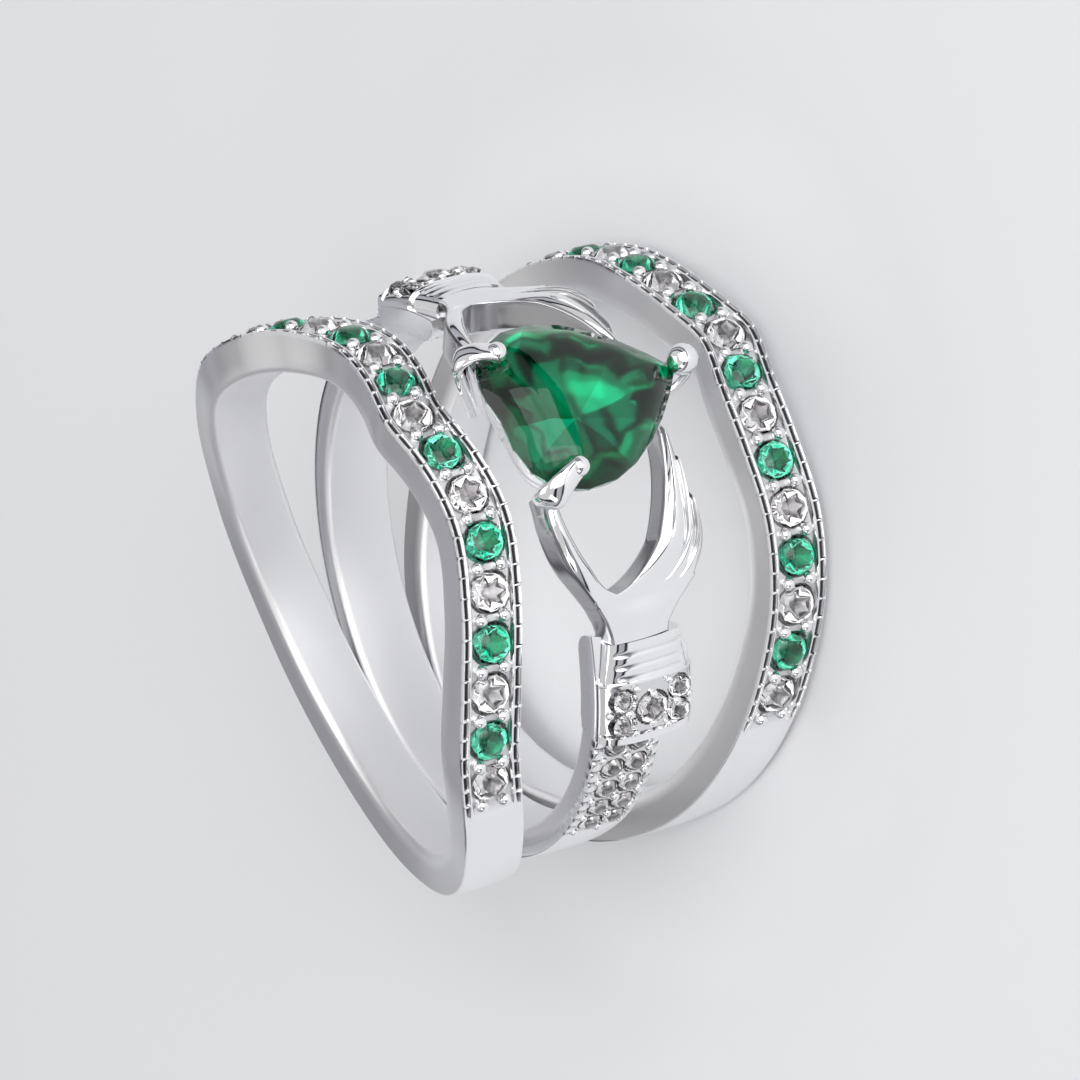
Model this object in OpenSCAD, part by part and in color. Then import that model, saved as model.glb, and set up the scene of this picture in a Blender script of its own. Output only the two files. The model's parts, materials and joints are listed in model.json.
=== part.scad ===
// Claddagh ring of three bands, soldered side by side at the palm and fanned open at the head.
// The middle band carries a heart-cut stone in a basket, held by two hands above raised cuffs.
// Each side band carries one row of small round stones in a grooved face with a shallow notch.
// The ring lies on its side, on the lower band. Angles run round the finger hole from the notch.

/* [Finger hole and bands] */
// Radius of the finger hole
finger_r = 8.65; // [7.5:0.05:10.5]
// Wall of each side band, from the finger hole outwards
side_wall = 1.5; // [1.3:0.05:2]
// Width of each side band along the finger
side_w = 2.25; // [2:0.05:2.8]
// Wall of the middle band
mid_wall = 1.15; // [1:0.05:1.5]
// Width of the middle band
mid_w = 2.6; // [2.2:0.05:3]
// How far the bands bite into each other where they are soldered
solder_bite = 0.2; // [0.1:0.05:0.4]
// Rounding of the bands' inner edges
edge_round = 0.25; // [0.1:0.05:0.4]

/* [Fan of the side bands] */
// Furthest centre line of the upper band from the middle band
upper_reach = 5.7; // [5:0.1:6.5]
// Furthest centre line of the lower band from the middle band
lower_reach = 7.4; // [6.5:0.1:8]

/* [Side band stones] */
// Diameter of a side stone
stone_d = 1.4; // [1.2:0.05:1.45]
// Distance from one side stone to the next along the band
stone_pitch = 1.67; // [1.64:0.01:1.9]
// Depth of a side stone from table to point
stone_depth = 0.85; // [0.6:0.05:0.95]
// Side stones on each side of the one in the notch
half_row = 8; // [4:1:9]
// Clearance round every stone
stone_gap = 0.06; // [0.03:0.01:0.1]

/* [Heart stone] */
// Width of the heart stone
heart_w = 6.2; // [5.5:0.1:7]
// Length of the heart stone from lobes to tip
heart_l = 7; // [6:0.1:7.5]
// Distance of the heart's girdle from the finger hole's axis
girdle_r = 12.4; // [12:0.1:13.5]
// Height of the crown above the girdle
crown_h = 0.8; // [0.5:0.05:1.2]
// Depth of the pavilion below the girdle
pavilion_h = 2.2; // [1.8:0.05:2.4]
// Table's size as a share of the outline
table_share = 0.62; // [0.5:0.01:0.7]
// How far the head is turned round from the side bands' notches
head_turn = 12; // [0:1:16]
// How far the heart sits from the middle band's centre line, towards the upper band
heart_shift = 0.3; // [0:0.05:0.4]

/* [Basket and prongs] */
// Wall of the basket
basket_wall = 0.45; // [0.35:0.05:0.6]
// Height of the basket below the girdle
basket_h = 2.6; // [2.2:0.1:2.8]
// Radius of a prong's post
prong_r = 0.32; // [0.25:0.01:0.38]
// Radius of a prong's ball tip
prong_ball = 0.46; // [0.4:0.01:0.55]

/* [Hands] */
// Angle from the heart's axis at which a hand leaves its cuff
hand_a = 40; // [38:0.5:41]
// Furthest reach of the thumbs towards the upper band
thumb_reach = 3.2; // [2.8:0.05:3.4]
// Furthest reach of the fingers towards the lower band
finger_reach = 2.75; // [2.4:0.05:3]
// Thickness of the hands
hand_t = 1.1; // [0.9:0.05:1.3]
// Depth of the hands' middle below the heart's girdle
hand_drop = 1.1; // [1:0.05:1.3]

/* [Cuffs] */
// Angle that the plain cuff takes up
plain_cuff_a = 7.5; // [6:0.5:9]
// Angle that the stone-set cuff takes up
set_cuff_a = 13; // [11:0.5:14]
// Height of the cuffs above the finger hole
cuff_h = 2.1; // [1.9:0.05:2.4]
// Width of the cuffs along the finger
cuff_w = 3.6; // [3.4:0.05:3.9]
// Diameter of the stone in the middle of a set cuff
cuff_stone_d = 1.15; // [0.9:0.05:1.25]
// Diameter of the stones at a set cuff's corners
corner_stone_d = 0.85; // [0.7:0.05:0.9]

/* [Set shanks] */
// Diameter of a shank stone
shank_stone_d = 0.85; // [0.7:0.01:0.88]
// Rows of shank stones below each cuff
shank_rows = 5; // [2:1:6]
// Distance from one row of shank stones to the next
shank_pitch = 1.05; // [1:0.01:1.3]

/* [Hidden] */
side_r = finger_r + side_wall;
mid_r = finger_r + mid_wall;
cuff_r = finger_r + cuff_h;
palm_z = (side_w + mid_w) / 2 - solder_bite;
hole_step = 0.05;
side_inner_r = finger_r + hole_step;

// Shares of the way from the palm to the furthest reach, for each angle from the notch
UPPER_FAN = [[0, 0.83], [12, 0.70], [25, 0.66], [40, 0.80], [55, 0.95], [70, 1], [90, 0.81],
             [115, 0.48], [145, 0.15], [180, 0]];
LOWER_FAN = [[0, 1], [12, 0.90], [25, 0.87], [40, 0.87], [55, 0.81], [70, 0.70], [90, 0.56],
             [115, 0.40], [145, 0.15], [180, 0]];

// Side band face: a groove between two rims, with bars between the stones
rim_w = (side_w - stone_d) / 2 - stone_gap;
groove_half = side_w / 2 - rim_w;
rim_round = 0.1;
groove_taper = 0.02;
row_end = 0.1;
groove_depth = stone_depth + stone_gap;
bar_depth = 0.14;
plain_crown = 0.05;
bar_half = (1 - (stone_d + 2 * stone_gap) / stone_pitch) / 2;
bar_slope = 0.015;
plain_steps = 34;
row_reach = half_row + 0.5;

// Head, worked out from the girdle
culet_r = girdle_r - pavilion_h;
girdle_t = 0.14;
bezel_rise = 0.62;
pavilion_turn = [0.55, 0.52];
basket_drop = 0.5;
basket_top_r = girdle_r - basket_drop;
basket_base_r = girdle_r - basket_h;
basket_base_share = 0.6;
seat_share = (basket_top_r - culet_r) / (pavilion_h - girdle_t) + 2 * stone_gap / heart_w;
basket_share = seat_share + 2 * basket_wall / heart_w;

// Prongs: each runs up the basket, past the girdle and over it to its ball
prong_out = 1 + 2 * (prong_r + stone_gap) / heart_w;
prong_foot_h = -1.9;
prong_knee_h = 0.35;
ball_h = 0.82;
lobe_prong = [0.97, 0.58];
tip_prong = [0, -1];
lobe_ball_share = 0.97;
tip_ball_share = 1.05;

// Hands: share of the way from the cuff to the heart, thumb's edge and fingers' edge as shares
// of their reaches, height as a share of the rise from the cuff to the heart
PALM = [[-0.12, 0.42, -0.4, 0], [0.03, 0.43, -0.41, 0.06], [0.12, 0.56, -0.54, 0.16],
        [0.22, 0.75, -0.74, 0.3], [0.28, 0.83, -0.84, 0.39]];
THUMB = [[0.09, 0.5, 0.16, 0.02], [0.3, 0.85, 0.42, 0.42], [0.42, 0.95, 0.52, 0.62],
         [0.52, 0.99, 0.6, 0.76], [0.66, 1, 0.66, 0.92], [0.8, 0.95, 0.68, 1]];
FINGERS = [[0.09, 0.03, -0.4, 0.02], [0.3, 0.05, -0.82, 0.42], [0.36, -0.15, -0.93, 0.52],
           [0.45, -0.26, -1, 0.66], [0.6, -0.4, -0.95, 0.84], [0.75, -0.43, -0.93, 0.96],
           [0.89, -0.43, -0.88, 1]];
hand_end_a = 6;
hand_foot_r = finger_r + cuff_h * 0.7;
hand_top_r = girdle_r - hand_drop;
hand_sides = 16;
hand_corner = 0.7;
ridge = 0.07;
finger_ridges = 4;

// Cuffs and shanks
joint_a = 0.5;
set_cuff_start = hand_a + plain_cuff_a;
shank_start = set_cuff_start + set_cuff_a;
plain_cuff_w = cuff_w * 0.87;
plain_cuff_r = cuff_r - 0.1;
plain_dome = 0.55;
set_dome = 0.75;
stone_depth_share = 0.6;
shank_dome = 0.15;
shank_stone_depth = shank_stone_d * stone_depth_share;
shank_across = shank_stone_d / 2 + stone_gap;
stone_sink = 0.17;
row_angle = shank_pitch / mid_r * 180 / PI;
shank_end = shank_start + row_angle * (shank_rows + 0.3);

// Lean: the ring tips on its lower band's notch until both flanks of that band touch down
low_half = side_w / 2;
notch_r = side_inner_r + edge_round;
notch_drop = fan(LOWER_FAN, lower_reach, 0) + low_half;
lean = min([for (a = [60:1:180]) for (r = [notch_r, side_r - rim_round])
    atan2(notch_drop - fan(LOWER_FAN, lower_reach, a) - low_half, notch_r - r * cos(a))]);
lift = notch_drop * cos(lean) - notch_r * sin(lean);

// Place of the footprint's middle, from the tip's ball, the palm and the lower set cuff
bound_front = (girdle_r + ball_h) * cos(head_turn) * cos(lean)
    + (heart_l / 2 * tip_ball_share - heart_shift) * sin(lean) + prong_ball;
bound_back = side_r * cos(lean) + (palm_z + low_half - rim_round) * sin(lean);
bound_side = side_r + plain_crown;
bound_cuff = cuff_r * sin(min(90, head_turn + shank_start));
shift_y = (bound_front - bound_back) / 2;
shift_x = (max(bound_cuff, bound_side) - bound_side) / 2;

function side_name(b) = b == 0 ? "upper" : "lower";

// Smooth curve through a table's rows, with a sharp turn at the first row and level at the last
function slope(rows, i, c) =
    i == 0 ? (rows[1][c] - rows[0][c]) / (rows[1][0] - rows[0][0])
    : i == len(rows) - 1 ? 0
    : (rows[i + 1][c] - rows[i - 1][c]) / (rows[i + 1][0] - rows[i - 1][0]);
function piece(rows, a, i = 0) = i >= len(rows) - 2 || a < rows[i + 1][0] ? i : piece(rows, a, i + 1);
function smooth(rows, a, c = 1) =
    let (i = piece(rows, a), w = rows[i + 1][0] - rows[i][0], t = (a - rows[i][0]) / w)
    rows[i][c] * (1 + 2 * t) * (1 - t) * (1 - t) + w * slope(rows, i, c) * t * (1 - t) * (1 - t)
    + rows[i + 1][c] * t * t * (3 - 2 * t) + w * slope(rows, i + 1, c) * t * t * (t - 1);
function fan(rows, reach, a) = palm_z + (reach - palm_z) * smooth(rows, abs(a));

// Point of the ring at an angle from the notch, a radius and a height along the finger
function round_at(a, r, z) = [-r * sin(a), -r * cos(a), z];

// Length along a side band's face from the notch, and the angle at a given length
arc_step = 1;
function arc_table(rows, reach, a = 0, s = 0) =
    a > 180 ? []
    : let (dz = fan(rows, reach, a + arc_step) - fan(rows, reach, a), dx = side_r * arc_step * PI / 180)
    concat([[s, a]], arc_table(rows, reach, a + arc_step, s + sqrt(dx * dx + dz * dz)));
UPPER_ARC = arc_table(UPPER_FAN, upper_reach);
LOWER_ARC = arc_table(LOWER_FAN, lower_reach);
function arc_angle(b, s) = sign(s) * lookup(abs(s), b == 0 ? UPPER_ARC : LOWER_ARC);
function side_z(b, a) = b == 0 ? fan(UPPER_FAN, upper_reach, a) : -fan(LOWER_FAN, lower_reach, a);

// Closed skin over rings of points, one ring after another, the last joined to the first
function loop_faces(n, m) = [for (i = [0:n - 1]) for (j = [0:m - 1])
    let (a = i * m + j, b = i * m + (j + 1) % m, c = ((i + 1) % n) * m + (j + 1) % m, d = ((i + 1) % n) * m + j)
    each [[a, b, c], [a, c, d]]];
// Closed skin over rings of points, with both ends capped
function tube_faces(n, m) = concat(
    [for (i = [0:n - 2]) for (j = [0:m - 1])
        let (a = i * m + j, b = i * m + (j + 1) % m, c = (i + 1) * m + (j + 1) % m, d = (i + 1) * m + j)
        each [[a, b, c], [a, c, d]]],
    [[for (j = [m - 1:-1:0]) j]],
    [[for (j = [0:m - 1]) (n - 1) * m + j]]);

// Places a child on the ring: its X runs round the ring, its Y along the finger, its Z outwards
module place(a, r, z) {
    rotate([0, 0, -a]) translate([0, -r, z]) rotate([90, 0, 0]) children();
}

module sector(a0, a1) {
    rotate([0, 0, -90 - a1]) rotate_extrude(angle = a1 - a0, $fn = 180) children();
}

// Side bands

function face_section(a, z, floor_r) = [
    for (p = [
        [side_w / 2 - edge_round, side_inner_r],
        [side_w / 2, side_inner_r + edge_round],
        [side_w / 2, side_r - rim_round],
        [side_w / 2 - rim_round, side_r],
        [groove_half, side_r],
        [groove_half - groove_taper, floor_r],
        [-groove_half + groove_taper, floor_r],
        [-groove_half, side_r],
        [-side_w / 2 + rim_round, side_r],
        [-side_w / 2, side_r - rim_round],
        [-side_w / 2, side_inner_r + edge_round],
        [-side_w / 2 + edge_round, side_inner_r],
    ]) round_at(a, p[1], z + p[0])];

function row_stations(b) = concat(
    [[arc_angle(b, -row_reach * stone_pitch - row_end), side_r + plain_crown]],
    [for (k = [-half_row:half_row]) for (u = [
            [-0.5 + bar_half - bar_slope, side_r - bar_depth],
            [-0.5 + bar_half, side_r - groove_depth],
            [0, side_r - groove_depth],
            [0.5 - bar_half, side_r - groove_depth],
            [0.5 - bar_half + bar_slope, side_r - bar_depth]])
        [arc_angle(b, (k + u[0]) * stone_pitch), u[1]]],
    [[arc_angle(b, row_reach * stone_pitch + row_end), side_r + plain_crown]]);

module side_band(b) {
    end_a = arc_angle(b, row_reach * stone_pitch + row_end);
    plain = (360 - 2 * end_a) / plain_steps;
    stations = concat(row_stations(b),
        [for (i = [1:plain_steps - 1]) [end_a + i * plain, side_r + plain_crown]]);
    points = [for (s = stations)
        each face_section(s[0], side_z(b, s[0] > 180 ? 360 - s[0] : s[0]), s[1])];
    polyhedron(points, loop_faces(len(stations), 12));
}

// Cut stones

module round_stone(d, depth) {
    sides = 8;
    turn = 180 / sides;
    table = d * 0.29;
    top = depth * 0.28;
    band = depth * 0.06;
    points = concat(
        [for (i = [0:sides - 1]) [table * cos(i * 45 + turn), table * sin(i * 45 + turn), top]],
        [for (h = [0, -band]) for (i = [0:sides - 1]) [d / 2 * cos(i * 45), d / 2 * sin(i * 45), h]],
        [[0, 0, top - depth]]);
    faces = concat(
        [[for (i = [sides - 1:-1:0]) i]],
        [for (i = [0:sides - 1]) let (j = (i + 1) % sides) each [
            [i, sides + j, sides + i], [i, j, sides + j],
            [sides + i, sides + j, 2 * sides + j], [sides + i, 2 * sides + j, 2 * sides + i],
            [2 * sides + i, 2 * sides + j, 3 * sides]]]);
    polyhedron(points, faces);
}

module side_stone(b, k) {
    a = arc_angle(b, k * stone_pitch);
    color((k + half_row) % 2 == 1 ? "seagreen" : "white")
        place(a, side_r - stone_depth * stone_sink, side_z(b, a))
            round_stone(stone_d, stone_depth);
}

function curve(p, t) = p[0] * pow(1 - t, 3) + p[1] * 3 * t * pow(1 - t, 2)
    + p[2] * 3 * t * t * (1 - t) + p[3] * pow(t, 3);

// Half of the heart's outline from cleft to tip, in shares of half its width and length
LOBE = [[0, 0.9], [0.28, 1.07], [1, 1.07], [1, 0.42]];
FLANK = [[1, 0.42], [1.06, -0.02], [0.66, -0.56], [0, -1]];
heart_half = concat(
    [for (t = [0:0.2:0.9]) curve(LOBE, t)],
    [for (t = [0:0.2:1.01]) curve(FLANK, t)]);
heart_outline = concat(
    heart_half,
    [for (i = [len(heart_half) - 2:-1:1]) [-heart_half[i][0], heart_half[i][1]]]);
function heart_ring(share, h) = [for (p = heart_outline)
    [p[0] * share * heart_w / 2, p[1] * share * heart_l / 2, h]];

module heart_stone() {
    n = len(heart_outline);
    points = concat(
        heart_ring(table_share, crown_h), heart_ring((1 + table_share) / 2, crown_h * bezel_rise),
        heart_ring(1, 0), heart_ring(1, -girdle_t),
        heart_ring(pavilion_turn[0], -pavilion_h * pavilion_turn[1]),
        [[0, 0, -pavilion_h]]);
    faces = concat(
        [[for (i = [0:n - 1]) i]],
        [for (level = [0:3]) for (i = [0:n - 1])
            let (j = (i + 1) % n, a = level * n, b = a + n)
            each [[a + i, b + i, b + j], [a + i, b + j, a + j]]],
        [for (i = [0:n - 1]) [4 * n + i, 5 * n, 4 * n + (i + 1) % n]]);
    color("green") place(head_turn, girdle_r, heart_shift) polyhedron(points, faces);
}

// Head: basket, prongs, hands

module heart_shape(share) {
    polygon([for (p = heart_outline) [p[0] * share * heart_w / 2, p[1] * share * heart_l / 2]]);
}

module basket() {
    h = basket_top_r - basket_base_r;
    hole_base = basket_base_share - 2 * basket_wall / heart_w;
    difference() {
        linear_extrude(h, scale = basket_share / basket_base_share) heart_shape(basket_base_share);
        translate([0, 0, -0.01]) linear_extrude(h + 0.02, scale = seat_share / hole_base)
            heart_shape(hole_base);
    }
}

module rod(p, q, r) {
    d = q - p;
    translate(p) rotate([0, acos(d[2] / norm(d)), atan2(d[1], d[0])]) cylinder(h = norm(d), r = r, $fn = 32);
}

module prong(spot, ball_share) {
    knee_r = prong_r + 0.02;
    bends = [for (b = [[basket_base_share * 1.08, prong_foot_h], [prong_out, -prong_knee_h],
                       [prong_out, prong_knee_h], [ball_share, ball_h]])
        [spot[0] * b[0] * heart_w / 2, spot[1] * b[0] * heart_l / 2, b[1]]];
    for (i = [0:2]) rod(bends[i], bends[i + 1], prong_r);
    for (i = [1:2]) translate(bends[i]) sphere(r = knee_r, $fn = 32);
    translate(bends[3]) sphere(r = prong_ball, $fn = 32);
}

// Section across a finger, thumb or palm: a flattened round, with ridges on its outer side
function hand_section(row, side, reaches, ridges) =
    let (
        a = side * (hand_a + row[0] * (hand_end_a - hand_a)),
        r = hand_foot_r + (hand_top_r - hand_foot_r) * row[3],
        z1 = row[1] * reaches[0],
        z0 = row[2] * reaches[1])
    [for (j = [0:hand_sides - 1])
        let (
            t = -side * j * 360 / hand_sides,
            c = sign(cos(t)) * pow(abs(cos(t)), hand_corner),
            bump = sin(t) > 0.1 ? ridge * ridges / finger_ridges * cos(ridges * 180 * c) : 0)
        round_at(a, r + hand_t / 2 * sin(t) + bump, (z0 + z1) / 2 + (z1 - z0) / 2 * c)];

module hand_strand(rows, side, reaches, ridges) {
    points = [for (row = rows) each hand_section(row, side, reaches, ridges)];
    polyhedron(points, tube_faces(len(rows), hand_sides));
}

module hand(side) {
    hand_strand(PALM, side, [thumb_reach, finger_reach], 0);
    hand_strand(THUMB, side, [thumb_reach, thumb_reach], 0);
    hand_strand(FINGERS, side, [finger_reach, finger_reach], finger_ridges);
}

// Middle band

// Section of the middle band: flat inside and at its sides, domed outside
module band_section(w, r, dome) {
    polygon(concat(
        [[finger_r + edge_round, w / 2], [finger_r, w / 2 - edge_round],
         [finger_r, -w / 2 + edge_round], [finger_r + edge_round, -w / 2]],
        [for (t = [-90:15:90]) [r - dome + dome * cos(t), w / 2 * sin(t)]]));
}

// Stones of a set cuff: place along its angle, place across it, both as shares, and diameter
CUFF_STONES = concat([[0.5, 0, cuff_stone_d]],
    [for (u = [0.3, 0.7]) for (v = [-0.6, 0.6]) [u, v, corner_stone_d]]);

// Places a child on the set cuff's dome, square to its surface
module on_cuff(side, spot) {
    rise = sqrt(1 - spot[1] * spot[1]);
    tilt = atan(set_dome * spot[1] / rise / (cuff_w / 2));
    place(side * (set_cuff_start + spot[0] * set_cuff_a), cuff_r - set_dome + set_dome * rise,
        spot[1] * cuff_w / 2) rotate([-tilt, 0, 0]) children();
}

module cuff(side) {
    a0 = side > 0 ? hand_a : -hand_a - plain_cuff_a - joint_a;
    b0 = side > 0 ? set_cuff_start : -shank_start;
    sector(a0, a0 + plain_cuff_a + joint_a) band_section(plain_cuff_w, plain_cuff_r, plain_dome);
    difference() {
        sector(b0, b0 + set_cuff_a) band_section(cuff_w, cuff_r, set_dome);
        for (s = CUFF_STONES) on_cuff(side, s)
            translate([0, 0, -s[2] * stone_depth_share - stone_gap])
                cylinder(h = s[2] * 2, r = s[2] / 2 + stone_gap, $fn = 48);
    }
}

module shank() {
    sector(shank_start - joint_a, 360 - shank_start + joint_a)
        band_section(mid_w, mid_r, shank_dome);
}

module shank_groove(side) {
    a0 = side > 0 ? shank_start + joint_a : -shank_end;
    sector(a0, a0 + shank_end - shank_start - joint_a)
        translate([mid_r - shank_stone_depth - stone_gap, -shank_across * 2])
            square([mid_wall, shank_across * 4]);
}

module pave_stones() {
    color("white") rotate([0, 0, -head_turn]) for (side = [-1, 1]) {
        for (s = CUFF_STONES) on_cuff(side, s)
            translate([0, 0, -s[2] * stone_depth_share * stone_sink])
                round_stone(s[2], s[2] * stone_depth_share);
        for (row = [0:shank_rows - 1]) for (i = [-1, 1])
            place(side * (shank_start + joint_a + row_angle * (row + 0.6)),
                mid_r - shank_stone_depth * stone_sink, i * shank_across)
                round_stone(shank_stone_d, shank_stone_depth);
    }
}

module ring() {
    color("silver") union() {
        side_band(0);
        side_band(1);
        rotate([0, 0, -head_turn]) {
            difference() {
                shank();
                shank_groove(1);
                shank_groove(-1);
            }
            cuff(1);
            cuff(-1);
            hand(1);
            hand(-1);
            place(0, basket_base_r, heart_shift) basket();
            place(0, girdle_r, heart_shift) {
                prong(lobe_prong, lobe_ball_share);
                prong([-lobe_prong[0], lobe_prong[1]], lobe_ball_share);
                prong(tip_prong, tip_ball_share);
            }
        }
    }
}

// The finished ring lies on its side, with the middle of its footprint at the origin
module at_rest() {
    translate([shift_x, shift_y, lift]) rotate([-lean, 0, 0]) children();
}

at_rest() ring();
at_rest() heart_stone();
at_rest() pave_stones();
for (b = [0, 1]) for (k = [-half_row:half_row])
    at_rest() side_stone(b, k);
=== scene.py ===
# A claddagh ring of three silver bands, with a heart-cut green stone held by two hands.
# The bands are soldered together at the palm and fan open towards the head.
# Sizes are in millimetres round the finger hole's middle until a shape is laid on the floor.
import json

import bpy
import numpy as np
from mathutils import Matrix


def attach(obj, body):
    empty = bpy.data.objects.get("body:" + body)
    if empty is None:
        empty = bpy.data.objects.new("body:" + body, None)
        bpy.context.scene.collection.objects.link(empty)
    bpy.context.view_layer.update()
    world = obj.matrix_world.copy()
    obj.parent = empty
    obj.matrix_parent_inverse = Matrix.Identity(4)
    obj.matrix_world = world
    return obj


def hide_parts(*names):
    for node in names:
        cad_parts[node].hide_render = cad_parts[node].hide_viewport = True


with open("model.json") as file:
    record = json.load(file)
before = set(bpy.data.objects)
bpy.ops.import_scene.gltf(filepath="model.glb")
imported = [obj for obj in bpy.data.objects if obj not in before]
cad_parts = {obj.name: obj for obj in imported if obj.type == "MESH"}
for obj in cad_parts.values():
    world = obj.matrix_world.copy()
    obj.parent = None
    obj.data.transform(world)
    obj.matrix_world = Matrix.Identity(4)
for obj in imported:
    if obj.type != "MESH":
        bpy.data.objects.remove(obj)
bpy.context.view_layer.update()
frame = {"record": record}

# How the ring lies. It rests on its side on the notch and the two flanks of its lower band,
# so the finger hole's axis leans a little. The hole's middle and axis come from the frame.
MM = 0.001
hole = next(mount for mount in frame["record"]["mounts"] if mount["name"] == "finger_hole")
hole_middle = np.array(hole["pos_m"])
lean_cos, lean_sin = hole["axis"][2], hole["axis"][1]


def lay(points):
    """Points in mm about the hole, turned about x by the lean, then moved to the hole's middle, in metres."""
    x, y, z = np.moveaxis(np.asarray(points, float), -1, 0)
    turned = np.stack([x, y * lean_cos + z * lean_sin, z * lean_cos - y * lean_sin], -1)
    return hole_middle + MM * turned


# The camera. It looks down on the ring from the head's side, rolled so that the finger hole's
# axis runs across the picture, with a long lens that shows almost no perspective. The view's
# directions and aim are in the ring's own frame, and the distance is in mm.
right_in_view = np.array([-0.477, -0.212, -0.853])
towards_camera = np.array([-0.5055, -0.728, 0.463])
view_aim = np.array([-0.009, -1.296, -2.046])
view_distance = 159.05
view_lens = 152.94
sensor_width = 36.0


def unit(vectors):
    """Vectors made one long: each divided by the root of the sum of its squares."""
    return vectors / np.linalg.norm(vectors, axis=-1, keepdims=True)


def turned_by_lean(direction):
    """A direction of the ring's own frame as it stands in the room: the same turn without the move."""
    return (lay(direction) - hole_middle) / MM


def put_in_room(name, data):
    """An object of this camera, lamp or mesh, linked into the scene."""
    placed = bpy.data.objects.new(name, data)
    bpy.context.scene.collection.objects.link(placed)
    return placed


view_back = unit(towards_camera)
view_right = unit(right_in_view - view_back * (right_in_view @ view_back))
view_up = np.cross(view_back, view_right)
camera_turn = Matrix([turned_by_lean(v) for v in (view_right, view_up, view_back)]).transposed()
camera_data = bpy.data.cameras.new("camera")
camera_data.lens = view_lens
camera_data.sensor_width = sensor_width
camera_data.clip_start = 0.005
camera_data.clip_end = 20
camera = put_in_room("camera", camera_data)
camera.matrix_world = Matrix.Translation(lay(view_aim + view_distance * view_back)) @ camera_turn.to_4x4()
bpy.context.scene.camera = camera
bpy.context.scene.view_settings.view_transform = "Standard"

# The studio. A pale table stands under soft lamps, with a pool of light painted on it round the ring.
# Polished silver mirrors the room round it, which is grey below, pale at the walls and white above, with a
# dark gap between each two.
table_half = 1.2
# Painted light: the near and mid colours are a pool of light painted round the ring; the far one is the
# table's own colour.
painted_pool_near, painted_pool_mid, table_far = (0.93, 0.935, 0.95), (0.92, 0.925, 0.94), (0.79, 0.795, 0.81)
table_fade = 0.125
ring_middle = (0.0, 0.0, 0.007)
floor_low, floor_far = (0.5, 0.5, 0.52), (0.4, 0.4, 0.42)
wall_low, wall_high = (0.62, 0.62, 0.68), (0.72, 0.72, 0.78)
dark_gap, ceiling = (0.03, 0.03, 0.035), (1.0, 1.0, 1.0)
room_light = 0.62


class Socket:
    """A value inside a material, on which sums and products are written as plain maths."""

    def __init__(self, tree, link):
        self.tree, self.link = tree, link

    @staticmethod
    def node(tree, kind, settings=None, **inputs):
        """Adds any node to a tree: its settings first, then its sockets. Returns its outputs."""
        node = tree.nodes.new(kind)
        for name, value in (settings or {}).items():
            if name == "stops":
                stops = node.color_ramp.elements
                while len(stops) < len(value):
                    stops.new(0.5)
                for stop, (place, colour) in zip(stops, value):
                    stop.position, stop.color = place, (*colour, 1)
            else:
                setattr(node, name, value)
        fill_sockets(tree, node, **inputs)
        return [Socket(tree, out) for out in node.outputs]

    def maths(self, operation, *values):
        """One Math node with these values in order."""
        inputs = {f"in{i}": value for i, value in enumerate(values)}
        return Socket.node(self.tree, "ShaderNodeMath", {"operation": operation}, **inputs)[0]

    def __add__(self, other):
        return self.maths("ADD", self, other)

    def __mul__(self, other):
        return self.maths("MULTIPLY", self, other)

    __radd__, __rmul__ = __add__, __mul__


def fill_sockets(tree, node, **inputs):
    """Fills a node's sockets by name, or by place as in0, in1: a link is joined and a value is set."""
    for name, value in inputs.items():
        by_place = name[:2] == "in" and name[2:].isdigit()
        socket = node.inputs[int(name[2:]) if by_place else name.replace("_", " ")]
        if isinstance(value, Socket):
            tree.links.new(value.link, socket)
        else:
            socket.default_value = value


def new_material(name, **sockets):
    """A material with its Principled shader's own sockets filled. Returns it, its tree and the shader."""
    material = bpy.data.materials.new(name)
    material.use_nodes = True
    shader = material.node_tree.nodes["Principled BSDF"]
    fill_sockets(material.node_tree, shader, **sockets)
    return material, material.node_tree, shader


table_mesh = bpy.data.meshes.new("table_top")
table_mesh.from_pydata([(x * table_half, y * table_half, 0) for x, y in ((-1, -1), (1, -1), (1, 1), (-1, 1))],
                       [], [(0, 1, 2, 3)])
table_top = put_in_room("table_top", table_mesh)
table_paint, paint_tree, paint_shader = new_material("table_paint", Roughness=0.55)
on_table = Socket.node(paint_tree, "ShaderNodeTexCoord")[3]
from_ring = Socket.node(paint_tree, "ShaderNodeVectorMath", {"operation": "LENGTH"}, in0=on_table)[1]
# Painted light: the table is painted a little whiter round the ring, a pool of light that also lifts the
# ring's own shade there.
painted_pool_stops = [(0.0, painted_pool_near), (0.05, painted_pool_mid), (0.135, table_far), (1.0, table_far)]
painted_pool = Socket.node(paint_tree, "ShaderNodeValToRGB", {"stops": painted_pool_stops},
                    Fac=from_ring * (1 / table_fade))[0]
fill_sockets(paint_tree, paint_shader, Base_Color=painted_pool)
table_mesh.materials.append(table_paint)

studio = bpy.data.worlds.new("studio")
bpy.context.scene.world = studio
studio.use_nodes = True
room_tree = studio.node_tree
direction = Socket.node(room_tree, "ShaderNodeTexCoord")[0]
upward = Socket.node(room_tree, "ShaderNodeSeparateXYZ", Vector=direction)[2]
# The room's colours, from straight down at 0 to straight up at 1.
room_stops = [(0.0, floor_low), (0.49, floor_far), (0.5, dark_gap), (0.54, dark_gap), (0.56, wall_low),
              (0.68, wall_high), (0.69, dark_gap), (0.75, dark_gap), (0.765, ceiling), (1.0, ceiling)]
room = Socket.node(room_tree, "ShaderNodeValToRGB", {"stops": room_stops}, Fac=upward * 0.5 + 0.5)[0]
fill_sockets(room_tree, room_tree.nodes["Background"], Color=room, Strength=room_light)


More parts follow.
